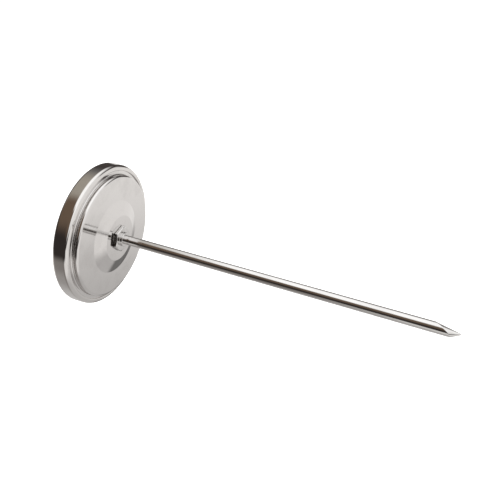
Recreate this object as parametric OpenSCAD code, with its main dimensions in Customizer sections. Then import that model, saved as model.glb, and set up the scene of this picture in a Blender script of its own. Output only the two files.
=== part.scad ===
// Bimetal dial thermometer with a pointed stem, millimetres.
// The stem runs along +Y, the dial faces -Y and its upright direction is +Z.
// The origin is on the stem's axis, at the shoulder where the bare stem leaves the nut.

/* [Stem] */
// Outer diameter of the stem tube
stem_d = 3.4; // [3:0.1:5]
// Wall of the stem tube
stem_wall = 0.35; // [0.3:0.05:0.4]
// Bare length of the stem, from the shoulder to the point
stem_len = 110; // [80:1:200]
// Length of the bevel on the long side of the point
point_long = 8; // [6:0.5:12]
// Length of the bevel on the short side of the point
point_short = 3; // [2:0.5:5]
// Diameter left at the blunt end of the point
point_blunt_d = 0.4; // [0.3:0.1:0.8]
// Thickness of solid metal behind the point
point_solid = 2; // [1:0.5:5]
// Turn of the point's long bevel about the stem
point_turn = 323; // [0:1:359]
// Step turned off the stem's outside where it sits in the nut
stem_step = 0.2; // [0.16:0.01:0.2]

/* [Nut] */
// Width of the hexagon across its flats
nut_flats = 8.5; // [8.2:0.1:12]
// Height of the hexagon
nut_h = 1.15; // [1:0.05:4]
// Turn of the hexagon about the stem
nut_turn = 34; // [0:1:59]
// Chamfer on the corners of the hexagon
nut_chamfer = 0.35; // [0.1:0.05:0.6]
// Wall of the round boss in front of the hexagon
boss_wall = 0.9; // [0.7:0.1:1.5]
// Height of the boss
boss_h = 1; // [0.5:0.1:3]
// Wall of the neck that passes through the case
neck_wall = 0.8; // [0.6:0.1:1.2]
// Length of neck left past the lock nut
neck_end = 0.2; // [0:0.1:0.4]
// Width of the lock nut across its flats
lock_flats = 8; // [7.5:0.1:10]
// Height of the lock nut
lock_h = 1.3; // [1:0.1:1.4]
// Thickness of the spring washer
washer_t = 0.3; // [0.2:0.05:0.4]
// Width of the spring washer from its bore to its rim
washer_w = 1.6; // [1:0.1:2]
// Thickness of the sealing washer
seal_t = 0.15; // [0.1:0.05:0.4]
// Width of the sealing washer from its bore to its rim
seal_w = 1.3; // [0.8:0.1:1.6]

/* [Case] */
// Outer diameter of the case where its back plate ends
back_d = 45; // [42:0.5:46]
// Sheet thickness of the case
case_t = 0.5; // [0.3:0.05:0.55]
// Radius of the edge round the back plate
back_edge_r = 0.9; // [0.55:0.05:1]
// Depth from the back plate to the flange
step_depth = 2.3; // [2:0.1:6]
// Radius where the wall turns out into the flange
step_r = 0.4; // [0.3:0.05:0.8]
// Diameter of the raised cone in the back plate
cone_d = 27; // [22:0.1:34]
// Height of the raised cone
cone_rise = 1.7; // [1:0.05:2.2]
// Diameter of the flat land on top of the cone
land_d = 17; // [14:0.1:20]

/* [Bezel] */
// Outer diameter of the bezel at its front
bezel_d = 52; // [51.6:0.1:65]
// Amount that the bezel narrows in diameter towards its back
bezel_taper = 0.4; // [0:0.1:0.8]
// Sheet thickness of the bezel
bezel_t = 0.5; // [0.4:0.05:0.7]
// Outer radius of the bezel's two rounded edges
bezel_edge_r = 1.2; // [0.75:0.05:1.2]
// Width of the lip rolled behind the flange
rear_lip = 1.4; // [0.5:0.1:1.8]
// Width of the lip in front of the lens
front_lip = 2.2; // [1.5:0.1:3]

/* [Dial] */
// Thickness of the dial plate
dial_t = 0.4; // [0.3:0.05:0.6]
// Diameter of the hole in the middle of the dial plate
dial_hole_d = 2.6; // [2:0.1:4]
// Gap that the spacer ring holds between dial plate and lens
spacer_h = 2.1; // [2:0.02:4]
// Wall of the spacer ring
spacer_wall = 1.2; // [0.8:0.1:2]
// Thickness of the lens
lens_t = 1.2; // [1:0.1:2]
// Thickness of the lens gasket
gasket_t = 0.4; // [0.3:0.1:0.6]
// Width of the lens gasket
gasket_w = 1.6; // [1:0.1:2]

/* [Pointer] */
// Length of the pointer from the shaft to its tip
pointer_len = 18; // [14:0.5:19]
// Length of the pointer's tail
pointer_tail = 6; // [3:0.5:8]
// Width of the pointer beside its hub
pointer_w = 1.7; // [1.4:0.1:2.4]
// Width of the pointer at its tip
pointer_tip_w = 0.4; // [0.3:0.1:0.8]
// Thickness of the pointer
pointer_t = 0.3; // [0.2:0.05:0.4]
// Diameter of the pointer's hub and of the cap over it
hub_d = 4.4; // [3.8:0.1:6]
// Height of the hub between dial plate and pointer
hub_h = 0.5; // [0.4:0.05:0.6]
// Height of the cap in front of the pointer
cap_h = 0.6; // [0.4:0.05:0.7]
// Temperature that the pointer shows at rest
rest_temp = 20; // [0:5:120]

/* [Movement] */
// Diameter of the pointer shaft
shaft_d = 0.8; // [0.6:0.05:1]
// Outer diameter of the bimetal coil
coil_d = 2.2; // [2:0.1:2.4]
// Thickness of the bimetal strip
strip_t = 0.2; // [0.15:0.05:0.25]
// Width of the bimetal strip
strip_w = 0.9; // [0.6:0.1:1.2]
// Number of turns in the coil
coil_turns = 24; // [12:1:30]
// Distance between turns, middle to middle
coil_pitch = 1.25; // [1.25:0.05:1.5]
// Length of each guide in the stem
guide_len = 2.5; // [1.5:0.5:4]
// Height of the flange on the upper guide
guide_flange = 0.3; // [0.2:0.05:0.4]
// Length of the plug that holds the coil
anchor_len = 2; // [1.5:0.5:4]

/* [Fits] */
// Radial clearance where one piece turns in another
running_gap = 0.05; // [0.03:0.01:0.08]
// Clearance between flat faces that turn against each other
face_gap = 0.05; // [0.03:0.01:0.1]
// Radial clearance round the pieces stacked in the bezel
stack_gap = 0.05; // [0.02:0.01:0.1]
// Radial clearance between the coil's clip and the coil
coil_gap = 0.1; // [0.08:0.01:0.15]
// Gap between the pointer's hub and the dial plate
hub_gap = 0.3; // [0.2:0.05:0.4]

/* [Hidden] */
$fn = 96;
STEP = 15;          // degrees between points on a rounded edge
COIL_SIDES = 16;    // straight pieces in one turn of the coil
CUT = 1;            // how far a cutting shape runs past what it cuts
SCALE_START = -135; // clock angle of the scale's start, from 12 o'clock
SCALE_SWEEP = 270;  // angle of the whole scale
SCALE_MAX = 120;    // temperature at the end of the scale

stem_r = stem_d / 2;
tube_bore = stem_r - stem_wall;
stem_end_r = stem_r - stem_step;
neck_r = stem_r + neck_wall;
boss_r = stem_r + boss_wall;
seal_r = neck_r + seal_w;
washer_r = neck_r + washer_w;
hex_r = nut_flats / 2 / cos(30);
lock_r = lock_flats / 2 / cos(30);
back_r = back_d / 2;
bezel_r = bezel_d / 2;
bezel_back_r = bezel_r - bezel_taper / 2;
bezel_bore = bezel_back_r - bezel_t;
stack_r = bezel_bore - stack_gap;
shaft_r = shaft_d / 2;
coil_bore = coil_d / 2 - strip_t;
clip_r = coil_bore * cos(180 / COIL_SIDES) - coil_gap;

// Heights along the stem: zero at the shoulder, positive towards the point
hex_top = -boss_h;
hex_seat = hex_top - nut_h;
seal_seat = hex_seat - seal_t;
cone_top = seal_seat - face_gap;
back_top = cone_top - cone_rise;
cone_inside = cone_top - case_t;
washer_seat = cone_inside - face_gap;
lock_top = washer_seat - washer_t;
lock_seat = lock_top - lock_h;
neck_top = lock_seat - neck_end;
flange_top = back_top - step_depth;
dial_back = flange_top - case_t;
dial_front = dial_back - dial_t;
lens_back = dial_front - spacer_h;
lens_front = lens_back - lens_t;
gasket_front = lens_front - gasket_t;
bezel_front = gasket_front - bezel_t;
hub_back = dial_front - hub_gap;
hub_front = hub_back - hub_h;
pointer_front = hub_front - pointer_t;
cap_front = pointer_front - cap_h;
shaft_front = cap_front + cap_h / 2;

point_back = stem_len - 1.5 * point_long;   // the point's cone bounds the stem from here
bore_end = stem_len - point_long - point_solid;
anchor_start = bore_end - anchor_len;
coil_end = anchor_start;
coil_len = coil_turns * coil_pitch + strip_w;
coil_start = coil_end - coil_len;
clip_len = 2 * coil_pitch;
clip_end = coil_start + clip_len;
clip_start = coil_start - coil_pitch;
lower_guide_end = clip_start - coil_pitch;
rest_angle = SCALE_START + SCALE_SWEEP * rest_temp / SCALE_MAX;

// Points on an arc about centre c, from angle a to angle b
function arc(c, r, a, b) =
    let (n = max(2, round(abs(b - a) / STEP)))
    [for (i = [0:n]) c + r * [cos(a + (b - a) * i / n), sin(a + (b - a) * i / n)]];

// Lays a shape that is drawn along local Z on the stem's axis
module on_axis() {
    rotate([-90, 0, 0]) children();
}

// Turns a shape that points along local X to a clock angle, clockwise for the dial's reader
module clock(angle) {
    rotate([0, 0, angle - 90]) children();
}

// A plain ring between two heights
module ring(outer, inner, low, high) {
    difference() {
        rod(outer, low, high);
        rod(inner, low - CUT, high + CUT);
    }
}

// A plain cylinder between two heights
module rod(r, low, high) {
    translate([0, 0, low]) cylinder(r = r, h = high - low);
}

// A hexagonal prism whose corners are chamfered at its upper end
module hexagon(corner_r, low, high, chamfer) {
    tall = high - low;
    translate([0, 0, low]) intersection() {
        cylinder(r = corner_r, h = tall, $fn = 6);
        union() {
            cylinder(r = corner_r + CUT, h = tall - chamfer);
            translate([0, 0, tall - chamfer])
                cylinder(r1 = corner_r, r2 = corner_r - 2 * chamfer, h = chamfer);
        }
    }
}

// The slanted cone that bounds the point: steeper on one side than on the other
module point_cone() {
    long_angle = atan(stem_r / point_long);
    short_angle = atan(stem_r / point_short);
    half = (long_angle + short_angle) / 2;
    reach = 2 * (stem_len - point_back);
    blunt_r = point_blunt_d / 2;
    clock(point_turn) translate([0, 0, stem_len]) rotate([0, (short_angle - long_angle) / 2, 0])
        translate([0, 0, -reach])
            cylinder(r1 = blunt_r + reach * tan(half), r2 = blunt_r, h = reach);
}

module stem_tube() {
    color("silver") on_axis() difference() {
        union() {
            rod(stem_end_r, neck_top, 0);
            intersection() {
                rod(stem_r, 0, stem_len);
                union() {
                    rod(2 * stem_r, 0, point_back);
                    point_cone();
                }
            }
        }
        rod(tube_bore, neck_top - CUT, bore_end);
    }
}

module hex_nut() {
    color("gainsboro") on_axis() difference() {
        union() {
            rod(boss_r, hex_top, 0);
            clock(nut_turn) hexagon(hex_r, hex_seat, hex_top, nut_chamfer);
            rod(neck_r, neck_top, hex_seat);
        }
        rod(stem_end_r, neck_top - CUT, CUT);
    }
}

module seal_washer() {
    color("dimgray") on_axis() ring(seal_r, neck_r, seal_seat, hex_seat);
}

module spring_washer() {
    color("slategray") on_axis() ring(washer_r, neck_r, lock_top, washer_seat);
}

module lock_nut() {
    color("goldenrod") on_axis() difference() {
        clock(nut_turn) hexagon(lock_r, lock_seat, lock_top, nut_chamfer);
        rod(neck_r, lock_seat - CUT, lock_top + CUT);
    }
}

module upper_guide() {
    color("gold") on_axis() difference() {
        union() {
            rod(stem_end_r, neck_top - guide_flange, neck_top);
            rod(tube_bore, neck_top, neck_top + guide_len);
        }
        rod(shaft_r + running_gap, neck_top - guide_flange - CUT, neck_top + guide_len + CUT);
    }
}

module lower_guide() {
    color("gold") on_axis()
        ring(tube_bore, shaft_r + running_gap, lower_guide_end - guide_len, lower_guide_end);
}

module anchor_plug() {
    color("peru") on_axis() {
        rod(tube_bore, anchor_start, bore_end);
        rod(coil_bore * cos(180 / COIL_SIDES), anchor_start - clip_len, anchor_start);
    }
}

// Strip wound on edge round the axis: a ring of four corners at each step of the helix
module bimetal_coil() {
    count = coil_turns * COIL_SIDES;
    rings = [for (i = [0:count])
        let (a = 360 * i / COIL_SIDES, z = coil_start + coil_pitch * i / COIL_SIDES)
        for (c = [[coil_bore, 0], [coil_d / 2, 0], [coil_d / 2, strip_w], [coil_bore, strip_w]])
            [c[0] * cos(a), c[0] * sin(a), z + c[1]]];
    sides = [for (i = [0:count - 1], k = [0:3])
        let (p = 4 * i, q = (k + 1) % 4)
        [p + k, p + 4 + k, p + 4 + q, p + q]];
    last = 4 * count;
    color("darkgoldenrod") on_axis()
        polyhedron(points = rings,
                   faces = concat([[0, 1, 2, 3]], sides, [[last + 3, last + 2, last + 1, last]]),
                   convexity = 10);
}

module back_case() {
    hole_r = neck_r + running_gap;
    land_r = land_d / 2;
    cone_r = cone_d / 2;
    edge = [back_r - back_edge_r, back_top - back_edge_r];
    bend = [back_r + step_r, flange_top + step_r];
    outside = concat(
        [[hole_r, cone_top], [land_r, cone_top], [cone_r, back_top]],
        arc(edge, back_edge_r, 90, 0),
        arc(bend, step_r, 180, 270),
        [[stack_r, flange_top]]);
    inside = concat(
        [[stack_r, flange_top - case_t]],
        arc(bend, step_r + case_t, 270, 180),
        arc(edge, back_edge_r - case_t, 0, 90),
        [[cone_r, back_top - case_t], [land_r, cone_inside], [hole_r, cone_inside]]);
    color("silver") on_axis() rotate_extrude() polygon(concat(outside, inside));
}

module bezel_ring() {
    lip_r = bezel_back_r - bezel_t - rear_lip;
    rear = [bezel_back_r - bezel_edge_r, flange_top + bezel_t - bezel_edge_r];
    front = [bezel_r - bezel_edge_r, bezel_front + bezel_edge_r];
    profile = concat(
        [[lip_r, flange_top]],
        arc([lip_r, flange_top + bezel_t / 2], bezel_t / 2, 180, 90),
        arc(rear, bezel_edge_r, 90, 0),
        arc(front, bezel_edge_r, 0, -90),
        [[bezel_bore - front_lip, bezel_front], [bezel_bore - front_lip, gasket_front],
         [bezel_bore, gasket_front], [bezel_bore, flange_top]]);
    color("silver") on_axis() rotate_extrude() polygon(profile);
}

module dial_plate() {
    color("white") on_axis() ring(stack_r, dial_hole_d / 2, dial_front, dial_back);
}

module spacer_ring() {
    color("whitesmoke") on_axis() ring(stack_r, stack_r - spacer_wall, lens_back, dial_front);
}

module lens() {
    color("lightcyan") on_axis() rod(stack_r, lens_front, lens_back);
}

module lens_gasket() {
    color("black") on_axis() ring(stack_r, stack_r - gasket_w, gasket_front, lens_front);
}

module pointer_shaft() {
    color("lightgray") on_axis() rod(shaft_r, shaft_front, clip_end);
}

module coil_clip() {
    color("gold") on_axis() difference() {
        rod(clip_r, clip_start, clip_end);
        rod(shaft_r, clip_start - CUT, clip_end + CUT);
    }
}

module pointer_hub() {
    color("gold") on_axis() ring(hub_d / 2, shaft_r, hub_front, hub_back);
}

module pointer() {
    half = pointer_w / 2;
    tip = pointer_tip_w / 2;
    color("red") on_axis() clock(rest_angle) difference() {
        translate([0, 0, pointer_front]) linear_extrude(pointer_t) union() {
            polygon([[-pointer_tail, -half], [0, -half], [pointer_len, -tip],
                     [pointer_len, tip], [0, half], [-pointer_tail, half]]);
            circle(d = hub_d);
        }
        rod(shaft_r, pointer_front - CUT, hub_front + CUT);
    }
}

module pointer_cap() {
    color("black") on_axis() difference() {
        rod(hub_d / 2, cap_front, pointer_front);
        rod(shaft_r, shaft_front, pointer_front + CUT);
    }
}

stem_tube();
hex_nut();
seal_washer();
spring_washer();
lock_nut();
upper_guide();
lower_guide();
anchor_plug();
bimetal_coil();
back_case();
bezel_ring();
dial_plate();
spacer_ring();
lens();
lens_gasket();
pointer_shaft();
coil_clip();
pointer_hub();
pointer();
pointer_cap();
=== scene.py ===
import math

import bpy
import numpy as np
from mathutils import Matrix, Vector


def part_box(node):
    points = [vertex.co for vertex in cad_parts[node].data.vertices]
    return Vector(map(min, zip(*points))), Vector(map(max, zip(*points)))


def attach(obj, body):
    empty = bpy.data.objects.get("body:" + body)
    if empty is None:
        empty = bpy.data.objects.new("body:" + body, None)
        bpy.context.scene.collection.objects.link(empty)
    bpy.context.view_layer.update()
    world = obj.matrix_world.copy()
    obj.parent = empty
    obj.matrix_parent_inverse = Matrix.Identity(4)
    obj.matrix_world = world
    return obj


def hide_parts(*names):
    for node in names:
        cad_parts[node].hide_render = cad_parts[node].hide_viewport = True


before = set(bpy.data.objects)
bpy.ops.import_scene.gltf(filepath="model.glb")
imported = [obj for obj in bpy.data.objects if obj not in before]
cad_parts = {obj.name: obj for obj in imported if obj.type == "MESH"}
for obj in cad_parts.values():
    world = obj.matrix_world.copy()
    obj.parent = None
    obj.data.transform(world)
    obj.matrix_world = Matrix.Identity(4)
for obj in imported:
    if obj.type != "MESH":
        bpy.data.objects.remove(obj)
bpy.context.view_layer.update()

MM = 0.001
TURN = 2 * math.pi
ROUND = 320          # columns round a turned piece
FILLET_STEPS = 8     # steps in each rounded corner
SUPPORT = 0.03 * MM  # from a rounded corner to the ring that holds the flat beside it


# ---------------------------------------------------------------- meshes

def mesh_piece(name, points, faces, smooth=True):
    """A mesh object at the origin from an array of points and a list of faces."""
    data = bpy.data.meshes.new(name)
    data.from_pydata(np.asarray(points).tolist(), [], faces)
    data.polygons.foreach_set("use_smooth", np.full(len(data.polygons), smooth))
    data.update()
    piece = bpy.data.objects.new(name, data)
    bpy.context.scene.collection.objects.link(piece)
    return piece


def grid_faces(rows, columns, wrap_rows):
    """Quads of a grid whose columns close on themselves, and whose rows do so too if wrap_rows."""
    i = np.arange(rows if wrap_rows else rows - 1)[:, None]
    j = np.arange(columns)[None, :]
    below = (i + 1) % rows
    beside = (j + 1) % columns
    return np.stack([i * columns + j, below * columns + j,
                     below * columns + beside, i * columns + beside], axis=-1).reshape(-1, 4)


def turned(name, radius, height, closed=False):
    """A surface round the Y axis: the point in row i and column j lies radius[i, j] from the axis,
    at the clock angle 360 j / columns from +Z towards +X, and at height[i] along Y. Unless the rows
    close on themselves, the first and the last row are single points on the axis."""
    radius = np.asarray(radius)
    height = np.asarray(height)
    if radius.ndim == 1:
        radius = np.repeat(radius[:, None], ROUND, axis=1)
    rows, columns = radius.shape
    mean = radius.mean(axis=1)
    if (mean * np.roll(height, -1) - np.roll(mean, -1) * height).sum() > 0:
        radius, height = radius[::-1], height[::-1]   # so that the faces point outwards
    angle = np.arange(columns) * TURN / columns
    points = np.stack([radius * np.sin(angle), np.repeat(height[:, None], columns, axis=1),
                       radius * np.cos(angle)], axis=-1)
    if closed:
        return mesh_piece(name, points.reshape(-1, 3), grid_faces(rows, columns, True).tolist())
    middle = points[1:-1].reshape(-1, 3)
    j = np.arange(columns)
    k = (j + 1) % columns
    last = (rows - 3) * columns
    start = np.full(columns, len(middle))
    faces = grid_faces(rows - 2, columns, False).tolist()
    faces += np.stack([start, j, k], axis=-1).tolist()
    faces += np.stack([last + j, start + 1, last + k], axis=-1).tolist()
    ends = [[0, height[0], 0], [0, height[-1], 0]]
    return mesh_piece(name, np.vstack([middle, ends]), faces)


def rounded(corners, closed=True):
    """A profile of (radius, height) points. Each corner (radius, height, fillet) becomes an arc
    that touches both its sides, with one more point on each side to keep the flats flat."""
    corners = np.array(corners, float)
    points = []
    for n, (r, y, fillet) in enumerate(corners):
        here = np.array([r, y])
        if not closed and n in (0, len(corners) - 1):
            points.append(here[None])
            continue
        back = corners[n - 1, :2] - here
        ahead = corners[(n + 1) % len(corners), :2] - here
        back /= np.linalg.norm(back)
        ahead /= np.linalg.norm(ahead)
        half = math.acos(np.clip(back @ ahead, -1, 1)) / 2
        reach = fillet / math.tan(half)
        centre = here + (back + ahead) / np.linalg.norm(back + ahead) * fillet / math.sin(half)
        start = here + back * reach - centre
        stop = here + ahead * reach - centre
        sweep = math.pi - 2 * half
        step = np.linspace(0, 1, FILLET_STEPS + 1)[:, None]
        arc = (np.sin((1 - step) * sweep) * start + np.sin(step * sweep) * stop) / math.sin(sweep)
        points += [(here + back * (reach + SUPPORT))[None], centre + arc,
                   (here + ahead * (reach + SUPPORT))[None]]
    return np.vstack(points)


def lathe(name, corners, closed=True):
    """A turned piece from the corners of its profile, each with its own fillet."""
    profile = rounded(corners, closed)
    return turned(name, profile[:, 0], profile[:, 1], closed)


def six_sided(name, corners, flats, corner_r, turn):
    """A turned piece cut to a hexagon: in every row the radius is the profile's, or less where the
    hexagon's side lies nearer the axis. turn is the clock angle of one corner."""
    profile = rounded(corners)
    angle = np.arange(2 * ROUND) * TURN / (2 * ROUND) - math.radians(turn)
    sixth = TURN / 6
    side = flats / 2 / np.cos((angle % sixth) - sixth / 2)
    radius = np.minimum(profile[:, :1], np.minimum(side, corner_r)[None, :])
    return turned(name, radius, profile[:, 1], closed=True)


# ---------------------------------------------------------------- places, from the CAD model

def low(node, axis=1):
    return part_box(node)[0][axis]


def high(node, axis=1):
    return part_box(node)[1][axis]


SHEET = 0.5 * MM
CREASE = 0.5 * MM    # fillet where pressed sheet bends a little
BROKEN = 0.05 * MM   # fillet on a cut edge
ROLLED = 0.24 * MM   # fillet on the edge of a rolled lip
CONE_TOP = high("back_case")
FLANGE_BACK = low("back_case")
FLANGE_TOP = FLANGE_BACK + SHEET
STACK_R = high("back_case", 0)
CONE_RISE = 1.7 * MM
BACK_TOP = CONE_TOP - CONE_RISE
BACK_R = 22.5 * MM
HOLE_R = 2.55 * MM
LAND_R = 8.5 * MM
CONE_R = 13.5 * MM
EDGE_R = 0.9 * MM
STEP_R = 0.4 * MM
BEZEL_R = high("bezel_ring", 0)
BEZEL_NARROWS = 0.2 * MM
BEZEL_BACK_R = BEZEL_R - BEZEL_NARROWS
BEZEL_FRONT = low("bezel_ring")
BEZEL_REAR = high("bezel_ring")
BEZEL_EDGE_R = 1.2 * MM
REAR_LIP_R = 23.9 * MM
FRONT_LIP_R = 23.1 * MM
BEZEL_BORE = BEZEL_BACK_R - SHEET
HEX_SEAT = high("seal_washer")
HEX_TALL = 1.15 * MM
HEX_TOP = HEX_SEAT + HEX_TALL
HEX_CHAMFER = 0.35 * MM
SHOULDER = high("hex_nut")
NECK_END = low("hex_nut")
NUT_FLATS = 8.5 * MM
NUT_TURN = 34
NECK_R = 2.5 * MM
BOSS_R = 2.6 * MM
STEM_R = 1.7 * MM
STEM_END_R = 1.5 * MM
TUBE_BORE = 1.35 * MM
TIP = high("stem_tube")
BORE_END = high("anchor_plug")
POINT_LONG = 8 * MM
POINT_SHORT = 3 * MM
POINT_BLUNT_R = 0.2 * MM
POINT_TURN = 323
POINT_BACK = TIP - 1.5 * POINT_LONG   # the plain tube ends here and the rows of the point begin
LENS_BACK = high("lens")
LENS_FRONT = low("lens")
DIAL_FRONT = low("dial_plate")
SCALE_START = -135   # clock angle of zero, in degrees
SCALE_SWEEP = 270
SCALE_MAX = 120
TICK_OUTER_R = 21.0 * MM
TICK_INNER_R = 20.0 * MM
LONG_TICK_INNER_R = 18.9 * MM
NUMBER_R = 15.9 * MM


# ---------------------------------------------------------------- camera

camera = bpy.data.cameras.new("camera")
camera.sensor_width = 36
camera.lens = 31.09
camera.shift_x = 0.0857
camera.clip_start = 0.005
camera_object = bpy.data.objects.new("camera", camera)
camera_object.location = (0.09880, 0.07227, 0.09619)
camera_object.rotation_euler = (math.radians(90 - 39.641), 0, math.radians(112.969))
bpy.context.scene.collection.objects.link(camera_object)
bpy.context.scene.camera = camera_object
bpy.context.scene.view_settings.view_transform = "Standard"


# ---------------------------------------------------------------- node helpers

def new_tree(holder):
    holder.use_nodes = True
    holder.node_tree.nodes.clear()
    return holder.node_tree


def put(tree, socket, value):
    """Links a socket to another, or sets its value."""
    if isinstance(value, bpy.types.NodeSocket):
        tree.links.new(value, socket)
    elif hasattr(socket.default_value, "__len__") and len(socket.default_value) == 4:
        socket.default_value = (*value[:3], 1)
    else:
        socket.default_value = value


def calc(tree, operation, a, b=0.0, clamp=False):
    node = tree.nodes.new("ShaderNodeMath")
    node.operation = operation
    node.use_clamp = clamp
    put(tree, node.inputs[0], a)
    put(tree, node.inputs[1], b)
    return node.outputs[0]


def ramp(tree, value, start, stop, smooth=True):
    """0 below start, 1 above stop, and smooth between them; start may be the greater."""
    node = tree.nodes.new("ShaderNodeMapRange")
    node.interpolation_type = "SMOOTHSTEP" if smooth else "LINEAR"
    up = start < stop
    put(tree, node.inputs["Value"], value)
    node.inputs["From Min"].default_value = start if up else stop
    node.inputs["From Max"].default_value = stop if up else start
    node.inputs["To Min"].default_value = 0 if up else 1
    node.inputs["To Max"].default_value = 1 if up else 0
    return node.outputs["Result"]


def blend(tree, factor, a, b):
    node = tree.nodes.new("ShaderNodeMix")
    node.data_type = "RGBA"
    put(tree, node.inputs["Factor"], factor)
    put(tree, node.inputs[6], a)
    put(tree, node.inputs[7], b)
    return node.outputs[2]


# ---------------------------------------------------------------- studio

def build_room():
    """Soft light all round: a bright ceiling and a pale floor, a dark brown screen on the +X side
    and a low dark one on the -X side, each with soft edges. Seen directly, it is plain white. x, y
    and z are the parts of a direction of length 1; around and behind are its angles in degrees
    about the vertical, from +X and from -X, both towards +Y."""
    world = bpy.data.worlds.new("studio")
    bpy.context.scene.world = world
    tree = new_tree(world)
    place = tree.nodes.new("ShaderNodeTexCoord")
    split = tree.nodes.new("ShaderNodeSeparateXYZ")
    tree.links.new(place.outputs["Generated"], split.inputs[0])
    x, y, z = split.outputs
    around = calc(tree, "MULTIPLY", calc(tree, "ARCTAN2", y, x), 180 / math.pi)
    behind = calc(tree, "MULTIPLY", calc(tree, "ARCTAN2", y, calc(tree, "MULTIPLY", x, -1.0)),
                  180 / math.pi)

    def window(value, rise, full, end, fall):
        """1 between full and end, and 0 below rise and above fall."""
        return calc(tree, "MULTIPLY", ramp(tree, value, rise, full), ramp(tree, value, fall, end))

    # ceiling, dimmer on the dial's side, and floor, dimmer far below, on the +X side and in a patch
    ceiling = blend(tree, ramp(tree, z, 0.45, 0.85), (1.05, 1.04, 1.03), (1.45, 1.45, 1.45))
    shade = blend(tree, ramp(tree, z, 0.45, 0.78), (0.19, 0.18, 0.175), (0.44, 0.40, 0.34))
    ceiling = blend(tree, ramp(tree, y, -0.55, -0.18), shade, ceiling)
    floor_tone = blend(tree, ramp(tree, z, -0.74, -0.50), (0.60, 0.585, 0.575), (1.02, 1.0, 0.98))
    near = calc(tree, "MULTIPLY", ramp(tree, x, 0.05, 0.85), ramp(tree, y, 0.30, -0.10))
    floor_tone = blend(tree, near, floor_tone, (0.26, 0.24, 0.225))
    patch = calc(tree, "MULTIPLY", ramp(tree, z, -0.60, -0.76), ramp(tree, x, -0.20, -0.45))
    patch = calc(tree, "MULTIPLY", patch, window(y, -0.40, -0.22, 0.20, 0.34))
    floor_tone = blend(tree, patch, floor_tone, (0.20, 0.195, 0.19))
    tone = blend(tree, ramp(tree, z, -0.10, 0.02), floor_tone, ceiling)
    # brown screen on the +X side, black near the horizon, where it reaches further round
    screen = calc(tree, "MULTIPLY", window(around, -98, -68, 32, 50),
                  window(z, -0.30, -0.10, 0.85, 0.97))
    beside = calc(tree, "MULTIPLY", window(around, 0, 10, 62, 86),
                  window(z, -0.06, 0.02, 0.14, 0.26))
    screen = calc(tree, "MAXIMUM", screen, beside)
    brown = blend(tree, ramp(tree, z, 0.30, 0.66), (0.040, 0.034, 0.031), (0.170, 0.120, 0.085))
    tone = blend(tree, screen, tone, brown)
    # low dark screen on the -X side, whose upper part reaches further round
    low_screen = calc(tree, "MULTIPLY", window(behind, -78, -55, 15, 34),
                      window(z, -0.24, -0.10, 0.25, 0.60))
    raised = calc(tree, "MULTIPLY", window(behind, 0, 12, 42, 52),
                  window(z, 0.04, 0.14, 0.25, 0.60))
    low_screen = calc(tree, "MAXIMUM", low_screen, raised)
    tone = blend(tree, low_screen, tone, (0.070, 0.060, 0.056))

    direct = tree.nodes.new("ShaderNodeLightPath").outputs["Is Camera Ray"]
    tone = blend(tree, direct, tone, (1.0, 1.0, 1.0))
    background = tree.nodes.new("ShaderNodeBackground")
    tree.links.new(tone, background.inputs["Color"])
    out = tree.nodes.new("ShaderNodeOutputWorld")
    tree.links.new(background.outputs[0], out.inputs["Surface"])


def soft_light(name, place, aim, size, power):
    """A square lamp that lights matt surfaces and shows in no reflection."""
    lamp = bpy.data.lights.new(name, "AREA")
    lamp.size = size
    lamp.energy = power
    piece = bpy.data.objects.new(name, lamp)
    piece.location = place
    way = np.array(place) - np.array(aim)
    flat = math.hypot(way[0], way[1])
    piece.rotation_euler = (math.atan2(flat, way[2]), 0, math.atan2(way[1], way[0]) + math.pi / 2)
    piece.visible_glossy = False
    bpy.context.scene.collection.objects.link(piece)


def build_floor():
    """A plain pale floor well below the thermometer, so that its soft shadow fades out."""
    half = 4.0
    height = -0.30
    floor = mesh_piece("floor", [[-half, -half, height], [half, -half, height],
                                 [half, half, height], [-half, half, height]], [[0, 1, 2, 3]])
    finish = bpy.data.materials.new("floor_white")
    tree = new_tree(finish)
    shader = tree.nodes.new("ShaderNodeBsdfPrincipled")
    shader.inputs["Base Color"].default_value = (0.95, 0.95, 0.95, 1)
    shader.inputs["Roughness"].default_value = 1.0
    shader.inputs["Specular IOR Level"].default_value = 0.0
    shader.inputs["Emission Color"].default_value = (1, 1, 1, 1)
    shader.inputs["Emission Strength"].default_value = 0.35
    out = tree.nodes.new("ShaderNodeOutputMaterial")
    tree.links.new(shader.outputs[0], out.inputs["Surface"])
    floor.data.materials.append(finish)
    floor.visible_glossy = False


build_room()
build_floor()
soft_light("overhead_light", (-0.10, -0.15, 0.9), (0, 0.03, 0), 0.9, 6.0)
soft_light("dial_light", (-0.25, -0.7, 0.35), (0, 0, 0), 0.6, 3.0)


# ---------------------------------------------------------------- finishes

def group(name, inputs, outputs):
    """An empty node group with its named sockets, and its input and output nodes."""
    tree = bpy.data.node_groups.new(name, "ShaderNodeTree")
    for label, kind, value in inputs:
        socket = tree.interface.new_socket(label, in_out="INPUT", socket_type="NodeSocket" + kind)
        if value is not None:
            socket.default_value = value
    for label, kind in outputs:
        tree.interface.new_socket(label, in_out="OUTPUT", socket_type="NodeSocket" + kind)
    return tree, tree.nodes.new("NodeGroupInput").outputs, tree.nodes.new("NodeGroupOutput").inputs


def noise(tree, where, scale, detail=2.0, rough=0.5, distortion=0.0):
    node = tree.nodes.new("ShaderNodeTexNoise")
    put(tree, node.inputs["Vector"], where)
    put(tree, node.inputs["Scale"], scale)
    node.inputs["Detail"].default_value = detail
    node.inputs["Roughness"].default_value = rough
    node.inputs["Distortion"].default_value = distortion
    return node.outputs["Fac"]


def stretch(tree, where, scale):
    node = tree.nodes.new("ShaderNodeMapping")
    put(tree, node.inputs["Vector"], where)
    node.inputs["Scale"].default_value = scale
    return node.outputs["Vector"]


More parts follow.
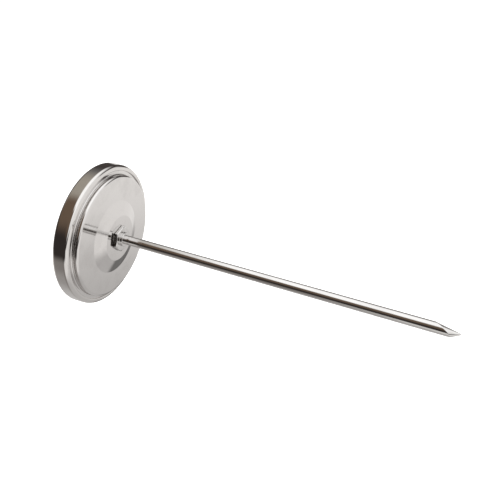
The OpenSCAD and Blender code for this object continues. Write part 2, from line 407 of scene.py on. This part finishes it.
def round_place(tree, where):
    """Distance from the Y axis and height along it."""
    split = tree.nodes.new("ShaderNodeSeparateXYZ")
    tree.links.new(where, split.inputs[0])
    x, y, z = split.outputs
    square = calc(tree, "ADD", calc(tree, "MULTIPLY", x, x), calc(tree, "MULTIPLY", z, z))
    radius = calc(tree, "SQRT", square)
    return radius, y


def make_handling_group():
    """Handling marks on bright metal: faint smudges that dull the shine, and fine hairlines. The
    outputs are a tint mask, the roughness, and a height for a bump."""
    tree, given, out = group(
        "handling_marks",
        [("Place", "Vector", None), ("Shine", "Float", 0.08), ("Smudge", "Float", 0.06),
         ("Size", "Float", 90.0)],
        [("Tint", "Float"), ("Roughness", "Float"), ("Height", "Float")])
    blot = noise(tree, given["Place"], given["Size"], 4.0, 0.6, 0.4)
    patch = ramp(tree, blot, 0.42, 0.72)
    fine = noise(tree, given["Place"], 2600.0, 2.0, 0.6)
    hair = noise(tree, stretch(tree, given["Place"], (900.0, 60.0, 260.0)), 1.0, 3.0, 0.7, 1.2)
    hairline = ramp(tree, hair, 0.58, 0.66)
    rough = calc(tree, "ADD", calc(tree, "MULTIPLY", patch, given["Smudge"]), given["Shine"])
    grain = calc(tree, "MULTIPLY", calc(tree, "SUBTRACT", fine, 0.5), 0.03)
    tree.links.new(patch, out["Tint"])
    tree.links.new(calc(tree, "ADD", rough, grain, clamp=True), out["Roughness"])
    tree.links.new(calc(tree, "ADD", blot, calc(tree, "MULTIPLY", hairline, 0.04)), out["Height"])
    return tree


def make_lines_group():
    """Fine machining lines: noise that changes quickly across the lines and not along them. Rings
    chooses between rings on a face (1), by distance from the Y axis, and rings round a side (0), by
    height. The outputs are the lines, and a broad noise to break them up."""
    tree, given, out = group(
        "machining_lines",
        [("Place", "Vector", None), ("Across", "Float", 9000.0), ("Rings", "Float", 1.0)],
        [("Lines", "Float"), ("Broad", "Float")])
    radius, y = round_place(tree, given["Place"])
    along = calc(tree, "ADD", calc(tree, "MULTIPLY", radius, given["Rings"]),
                 calc(tree, "MULTIPLY", y, calc(tree, "SUBTRACT", 1.0, given["Rings"])))
    line = tree.nodes.new("ShaderNodeTexNoise")
    line.noise_dimensions = "1D"
    tree.links.new(calc(tree, "MULTIPLY", along, given["Across"]), line.inputs["W"])
    line.inputs["Scale"].default_value = 1.0
    line.inputs["Detail"].default_value = 3.0
    broad = noise(tree, given["Place"], 400.0, 2.0)
    tree.links.new(line.outputs["Fac"], out["Lines"])
    tree.links.new(broad, out["Broad"])
    return tree


HANDLING = make_handling_group()
LINES = make_lines_group()


def use_group(tree, shared, **values):
    node = tree.nodes.new("ShaderNodeGroup")
    node.node_tree = shared
    place = tree.nodes.new("ShaderNodeTexCoord")
    tree.links.new(place.outputs["Object"], node.inputs["Place"])
    for label, value in values.items():
        put(tree, node.inputs[label], value)
    return node.outputs


def start_material(name, metallic, roughness, **fixed):
    """A Principled material with its constant values set on the shader."""
    finish = bpy.data.materials.new(name)
    tree = new_tree(finish)
    shader = tree.nodes.new("ShaderNodeBsdfPrincipled")
    shader.inputs["Metallic"].default_value = metallic
    shader.inputs["Roughness"].default_value = roughness
    for label, value in fixed.items():
        shader.inputs[label.replace("_", " ")].default_value = value
    out = tree.nodes.new("ShaderNodeOutputMaterial")
    tree.links.new(shader.outputs[0], out.inputs["Surface"])
    return finish, tree, shader.inputs


def bump(tree, sockets, height, distance, strength=1.0):
    node = tree.nodes.new("ShaderNodeBump")
    node.inputs["Strength"].default_value = strength
    node.inputs["Distance"].default_value = distance
    tree.links.new(height, node.inputs["Height"])
    tree.links.new(node.outputs["Normal"], sockets["Normal"])


def polished_steel(name, bright, dull, shine, smudge, wave):
    """Polished sheet or bar: colour falls a little in the smudges, which are also rougher, and the
    surface waves very slightly."""
    finish, tree, sockets = start_material(name, 1.0, shine)
    marks = use_group(tree, HANDLING, Shine=shine, Smudge=smudge)
    tree.links.new(blend(tree, marks["Tint"], bright, dull), sockets["Base Color"])
    tree.links.new(marks["Roughness"], sockets["Roughness"])
    bump(tree, sockets, marks["Height"], wave)
    return finish


def machined(name, bright, dull, metallic, roughness, across, rings, depth):
    """Turned or drawn metal: fine lines change its colour and roughness and stand up a little."""
    finish, tree, sockets = start_material(name, metallic, roughness)
    lines = use_group(tree, LINES, Across=across, Rings=rings)
    mix = calc(tree, "MULTIPLY", lines["Lines"], lines["Broad"])
    tree.links.new(blend(tree, ramp(tree, mix, 0.12, 0.45), dull, bright), sockets["Base Color"])
    tree.links.new(calc(tree, "ADD", calc(tree, "MULTIPLY", lines["Lines"], 0.12), roughness - 0.06,
                        clamp=True), sockets["Roughness"])
    bump(tree, sockets, lines["Lines"], depth)
    return finish


def speckled(name, colour, darker, roughness, size, depth, **fixed):
    """Moulded, painted or rubber surface: a fine grain in colour and height."""
    finish, tree, sockets = start_material(name, 0.0, roughness, **fixed)
    place = tree.nodes.new("ShaderNodeTexCoord").outputs["Object"]
    grain = noise(tree, place, size, 3.0, 0.6)
    slow = noise(tree, place, size / 40, 2.0)
    mix = ramp(tree, calc(tree, "ADD", grain, slow), 0.7, 1.3)
    tree.links.new(blend(tree, mix, darker, colour), sockets["Base Color"])
    tree.links.new(calc(tree, "ADD", calc(tree, "MULTIPLY", slow, 0.16), roughness - 0.08,
                        clamp=True), sockets["Roughness"])
    bump(tree, sockets, grain, depth)
    return finish


case_steel = polished_steel("case_steel", (0.66, 0.645, 0.635), (0.60, 0.585, 0.575), 0.07, 0.07,
                            0.00001)
bezel_steel = polished_steel("bezel_steel", (0.68, 0.665, 0.65), (0.62, 0.60, 0.59), 0.06, 0.06,
                             0.00001)
stem_steel = polished_steel("stem_steel", (0.68, 0.67, 0.66), (0.62, 0.61, 0.60), 0.10, 0.06,
                            0.000003)
nut_steel = machined("nut_steel", (0.70, 0.69, 0.68), (0.58, 0.57, 0.56), 1.0, 0.13, 9000.0, 1.0,
                     0.000002)
dial_enamel = speckled("dial_enamel", (0.86, 0.86, 0.84), (0.80, 0.80, 0.78), 0.35, 900.0, 0.000001)
marks_ink = speckled("marks_ink", (0.015, 0.015, 0.016), (0.03, 0.03, 0.03), 0.5, 2500.0, 0.0000005)
spacer_white = speckled("spacer_white", (0.80, 0.80, 0.78), (0.72, 0.72, 0.70), 0.45, 1500.0,
                        0.000002)
seal_rubber = speckled("seal_rubber", (0.03, 0.03, 0.03), (0.015, 0.015, 0.015), 0.8, 2500.0,
                       0.000006)
cap_black = speckled("cap_black", (0.018, 0.018, 0.019), (0.03, 0.03, 0.03), 0.25, 1500.0,
                     0.000001, Coat_Weight=0.4)
pointer_red = speckled("pointer_red", (0.62, 0.035, 0.025), (0.50, 0.025, 0.02), 0.32, 1800.0,
                       0.000001, Coat_Weight=0.5)
brass = machined("brass", (0.86, 0.66, 0.34), (0.70, 0.50, 0.24), 1.0, 0.28, 12000.0, 1.0, 0.000002)
bimetal = machined("bimetal", (0.66, 0.54, 0.38), (0.50, 0.38, 0.26), 1.0, 0.38, 8000.0, 0.0,
                   0.000002)
spring_steel = machined("spring_steel", (0.46, 0.46, 0.48), (0.34, 0.34, 0.36), 1.0, 0.35, 9000.0,
                        1.0, 0.000002)
shaft_steel = machined("shaft_steel", (0.64, 0.64, 0.64), (0.52, 0.52, 0.52), 1.0, 0.30, 9000.0,
                       1.0, 0.000001)


def clear_glass():
    """Clear pane: transmission and gloss are plain, a very faint smear changes the roughness."""
    finish, tree, sockets = start_material("lens_glass", 0.0, 0.0, IOR=1.5, Transmission_Weight=1.0)
    place = tree.nodes.new("ShaderNodeTexCoord").outputs["Object"]
    smear = noise(tree, place, 70.0, 3.0, 0.6, 0.5)
    tree.links.new(blend(tree, smear, (0.97, 0.99, 0.985), (0.99, 1.0, 0.995)),
                   sockets["Base Color"])
    tree.links.new(calc(tree, "MULTIPLY", ramp(tree, smear, 0.5, 0.8), 0.03), sockets["Roughness"])
    return finish


lens_glass = clear_glass()


# ---------------------------------------------------------------- pieces

def pointed_stem():
    """Tube with a slanted point. At a depth d behind the tip and at an angle c from the long bevel,
    the bevels' cone has the radius that solves: distance from the cone's tilted axis = blunt radius
    + distance along it times the tangent of its half angle. The stem's radius is the smaller of
    that and the tube's, with the crease between them eased."""
    start = rounded([(0, BORE_END, 0), (TUBE_BORE, BORE_END, 0.1 * MM),
                     (TUBE_BORE, NECK_END, 0.04 * MM), (STEM_END_R, NECK_END, 0.04 * MM),
                     (STEM_END_R, SHOULDER, 0.03 * MM), (STEM_R, SHOULDER, 0.03 * MM),
                     (STEM_R, POINT_BACK, 0)], closed=False)
    columns, rows = 256, 240
    depth = np.linspace(TIP - POINT_BACK, 0, rows)[1:, None]
    long_side = math.atan(STEM_R / POINT_LONG)
    short_side = math.atan(STEM_R / POINT_SHORT)
    lean = (short_side - long_side) / 2
    slope = math.tan((short_side + long_side) / 2)
    facing = np.cos(np.arange(columns)[None, :] * TURN / columns - math.radians(POINT_TURN))
    per_radius = -facing * math.sin(lean)
    along = depth * math.cos(lean)
    q = 1 + slope ** 2
    a = 1 - q * per_radius ** 2
    b = -2 * per_radius * (q * along + slope * POINT_BLUNT_R)
    c = depth ** 2 - q * along ** 2 - 2 * slope * POINT_BLUNT_R * along - POINT_BLUNT_R ** 2
    cone = (-b + np.sqrt(np.maximum(b ** 2 - 4 * a * c, 0))) / (2 * a)
    ease = 0.02 * MM
    point = -ease * np.logaddexp(-cone / ease, -STEM_R / ease)
    radius = np.vstack([np.repeat(start[:, :1], columns, axis=1), point, np.zeros((1, columns))])
    height = np.concatenate([start[:, 1], TIP - depth[:, 0], [TIP]])
    return turned("stem", radius, height)


def dial_marks():
    """Printed scale: radial bars on the dial at each two degrees, longer and broader at each ten, a
    thin ring of short bars outside them, and the numbers, all lying just above the dial."""
    lift = DIAL_FRONT - 0.02 * MM
    per_degree = SCALE_SWEEP / SCALE_MAX
    reading = np.arange(0, SCALE_MAX + 1, 2)
    angle = np.radians(SCALE_START + per_degree * reading)
    whole = reading % 10 == 0
    inner = np.where(whole, LONG_TICK_INNER_R, TICK_INNER_R)
    half = np.where(whole, 0.22, 0.09) * MM
    outer = np.full(len(reading), TICK_OUTER_R)

    def bars(angle, inner, outer, half):
        out = np.stack([np.sin(angle), np.cos(angle)], axis=-1)
        across = np.stack([out[:, 1], -out[:, 0]], axis=-1)
        flat = np.stack([out * inner[:, None] - across * half[:, None],
                         out * inner[:, None] + across * half[:, None],
                         out * outer[:, None] + across * half[:, None],
                         out * outer[:, None] - across * half[:, None]], axis=1)
        return np.stack([flat[..., 0], np.full(flat.shape[:2], lift), flat[..., 1]], axis=-1)

    span = 1.5   # degrees of the ring in one bar
    ring_angle = np.radians(np.arange(SCALE_START, SCALE_START + SCALE_SWEEP, span) + span / 2)
    many = np.ones(len(ring_angle))
    ring_width = 0.2 * MM
    ring_half = (TICK_OUTER_R + ring_width / 2) * math.radians(span) / 2
    ring = bars(ring_angle, many * TICK_OUTER_R, many * (TICK_OUTER_R + ring_width),
                many * ring_half)
    corners = np.vstack([bars(angle, inner, outer, half), ring]).reshape(-1, 3)
    faces = np.arange(len(corners)).reshape(-1, 4).tolist()
    words = [(str(n), SCALE_START + per_degree * n, NUMBER_R, 3.0 * MM)
             for n in range(0, SCALE_MAX + 1, 20)]
    words.append(("\u00b0C", 180, 12.0 * MM, 3.4 * MM))
    for word, clock, reach, size in words:
        text = bpy.data.curves.new("number", "FONT")
        text.body = word
        text.size = size
        text.offset = size * 0.012
        text.align_x = "CENTER"
        text.align_y = "CENTER"
        holder = bpy.data.objects.new("number", text)
        flat = bpy.data.meshes.new_from_object(holder)
        place = np.empty(len(flat.vertices) * 3)
        flat.vertices.foreach_get("co", place)
        place = place.reshape(-1, 3)
        turn = math.radians(clock)
        moved = np.stack([place[:, 0] + reach * math.sin(turn), np.full(len(place), lift),
                          place[:, 1] + reach * math.cos(turn)], axis=-1)
        faces += [[v + len(corners) for v in polygon.vertices] for polygon in flat.polygons]
        corners = np.vstack([corners, moved])
        bpy.data.objects.remove(holder)
        bpy.data.curves.remove(text)
        bpy.data.meshes.remove(flat)
    return mesh_piece("dial_marks", corners, faces, smooth=False)


back_case = lathe("case_back", [
    (HOLE_R, CONE_TOP, BROKEN), (LAND_R, CONE_TOP, CREASE), (CONE_R, BACK_TOP, CREASE),
    (BACK_R, BACK_TOP, EDGE_R), (BACK_R, FLANGE_TOP, STEP_R), (STACK_R, FLANGE_TOP, BROKEN),
    (STACK_R, FLANGE_BACK, BROKEN), (BACK_R - SHEET, FLANGE_BACK, STEP_R + SHEET),
    (BACK_R - SHEET, BACK_TOP - SHEET, EDGE_R - SHEET), (CONE_R, BACK_TOP - SHEET, CREASE),
    (LAND_R, CONE_TOP - SHEET, CREASE), (HOLE_R, CONE_TOP - SHEET, BROKEN)])
bezel = lathe("bezel", [
    (REAR_LIP_R, FLANGE_TOP, BROKEN), (REAR_LIP_R, BEZEL_REAR, ROLLED),
    (BEZEL_BACK_R, BEZEL_REAR, BEZEL_EDGE_R), (BEZEL_R, BEZEL_FRONT, BEZEL_EDGE_R),
    (FRONT_LIP_R, BEZEL_FRONT, ROLLED), (FRONT_LIP_R, BEZEL_FRONT + SHEET, 0.2 * MM),
    (BEZEL_BORE, BEZEL_FRONT + SHEET, BROKEN), (BEZEL_BORE, FLANGE_TOP, BROKEN)])
NUT_CORNER_R = NUT_FLATS / 2 / math.cos(TURN / 12)
nut = six_sided("nut", [
    (STEM_END_R, NECK_END, BROKEN), (NECK_R, NECK_END, 0.1 * MM), (NECK_R, HEX_SEAT, BROKEN),
    (NUT_CORNER_R, HEX_SEAT, BROKEN), (NUT_CORNER_R, HEX_TOP - HEX_CHAMFER, 0.1 * MM),
    (NUT_CORNER_R - 2 * HEX_CHAMFER, HEX_TOP, 0.15 * MM), (BOSS_R, HEX_TOP, 0.12 * MM),
    (BOSS_R, SHOULDER, 0.15 * MM), (STEM_END_R, SHOULDER, BROKEN)],
    NUT_FLATS, NUT_CORNER_R - 0.05 * MM, NUT_TURN)
lens = lathe("lens_pane", [(0, LENS_FRONT, 0), (STACK_R, LENS_FRONT, 0.15 * MM),
                           (STACK_R, LENS_BACK, 0.15 * MM), (0, LENS_BACK, 0)], closed=False)

for piece, node, body, slot, finish in (
        (pointed_stem(), "stem_tube", "probe", "stem_steel", stem_steel),
        (nut, "hex_nut", "probe", "nut_steel", nut_steel),
        (back_case, "back_case", "head", "case_steel", case_steel),
        (bezel, "bezel_ring", "head", "bezel_steel", bezel_steel),
        (lens, "lens", "head", "lens_glass", lens_glass),
        (dial_marks(), None, "head", "dial_white", marks_ink)):
    piece.data.materials.append(finish)
    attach(piece, body)
    if node:
        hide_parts(node)

for node, finish in {
        "seal_washer": seal_rubber, "spring_washer": spring_steel, "lock_nut": brass,
        "upper_guide": brass, "lower_guide": brass, "anchor_plug": brass, "bimetal_coil": bimetal,
        "dial_plate": dial_enamel, "spacer_ring": spacer_white, "lens_gasket": seal_rubber,
        "pointer_shaft": shaft_steel, "coil_clip": brass, "pointer_hub": brass,
        "pointer": pointer_red, "pointer_cap": cap_black, "stem_tube": stem_steel,
        "hex_nut": nut_steel, "back_case": case_steel, "bezel_ring": bezel_steel,
        "lens": lens_glass}.items():
    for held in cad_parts[node].material_slots:
        held.link = "OBJECT"
        held.material = finish
